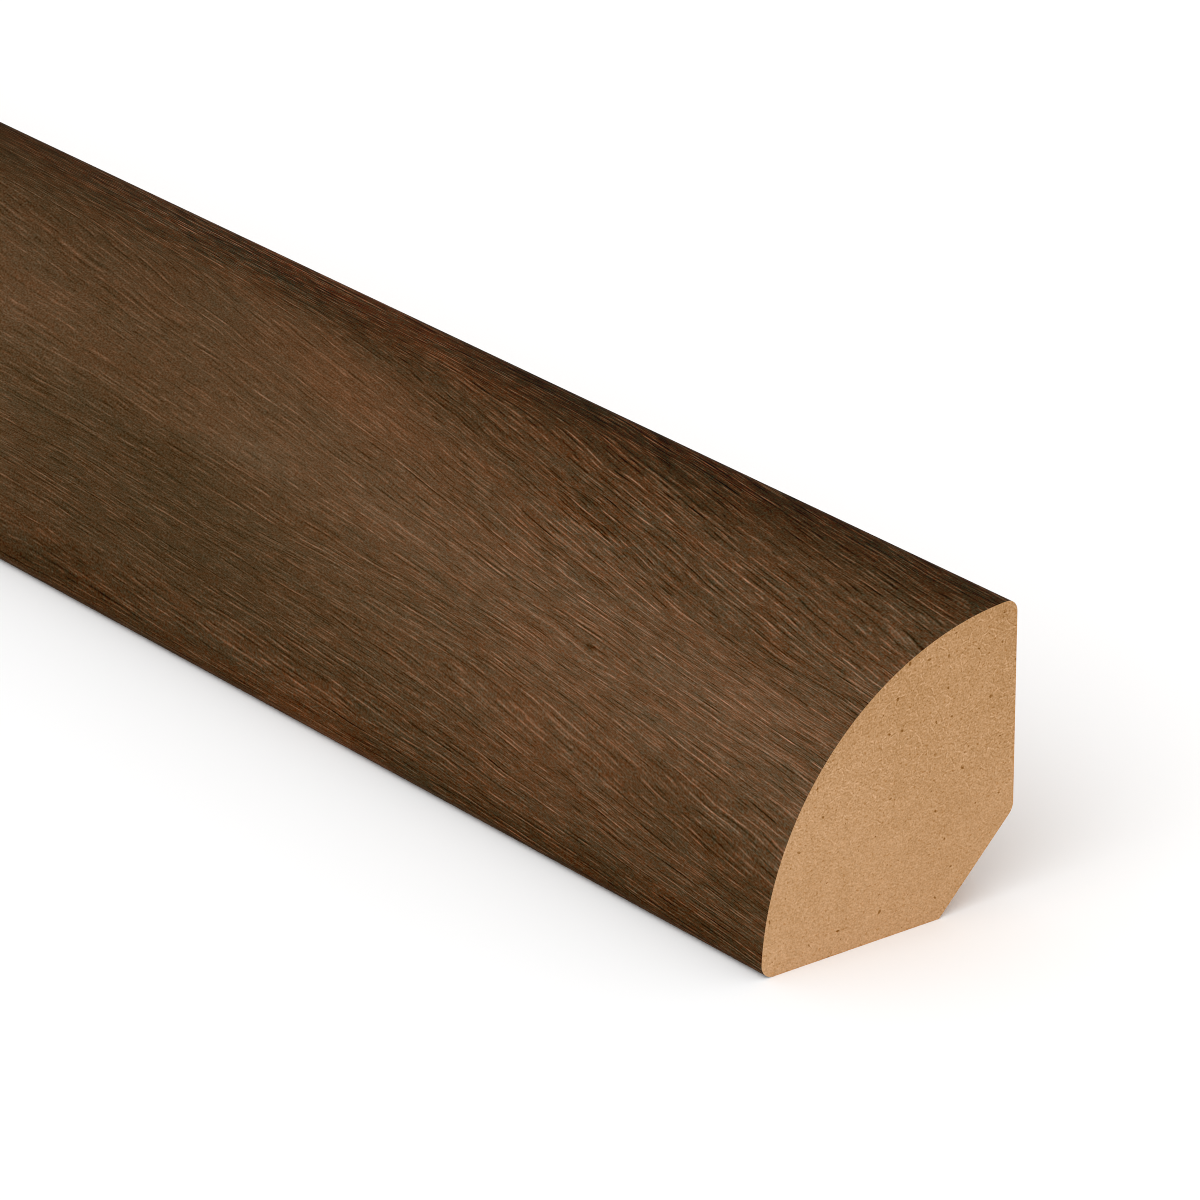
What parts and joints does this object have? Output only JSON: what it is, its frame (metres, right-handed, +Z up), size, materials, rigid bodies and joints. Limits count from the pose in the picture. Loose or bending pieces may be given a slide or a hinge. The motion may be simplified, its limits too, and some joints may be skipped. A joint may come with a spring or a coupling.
{
  "type": "quarter round moulding",
  "caption": "Straight length of quarter round trim: fibreboard with a relieved back corner, its round face wrapped in dark wood grain foil, for covering the joint of floor and wall.",
  "frame": {"origin": "on the floor face's plane, below the middle of the width and at the middle of the length", "axes": "+X along the length, towards the end that faces the viewer; +Y towards the wall, out of the wall face; +Z up, out of the floor"},
  "size_m": [2.3876, 0.019, 0.019],
  "materials": {
    "fibreboard": "matte",
    "wood_grain_foil": "matte"
  },
  "bodies": {
    "root": {"mdf_core": "fibreboard", "decor_wrap": "wood_grain_foil"}
  },
  "joints": []
}
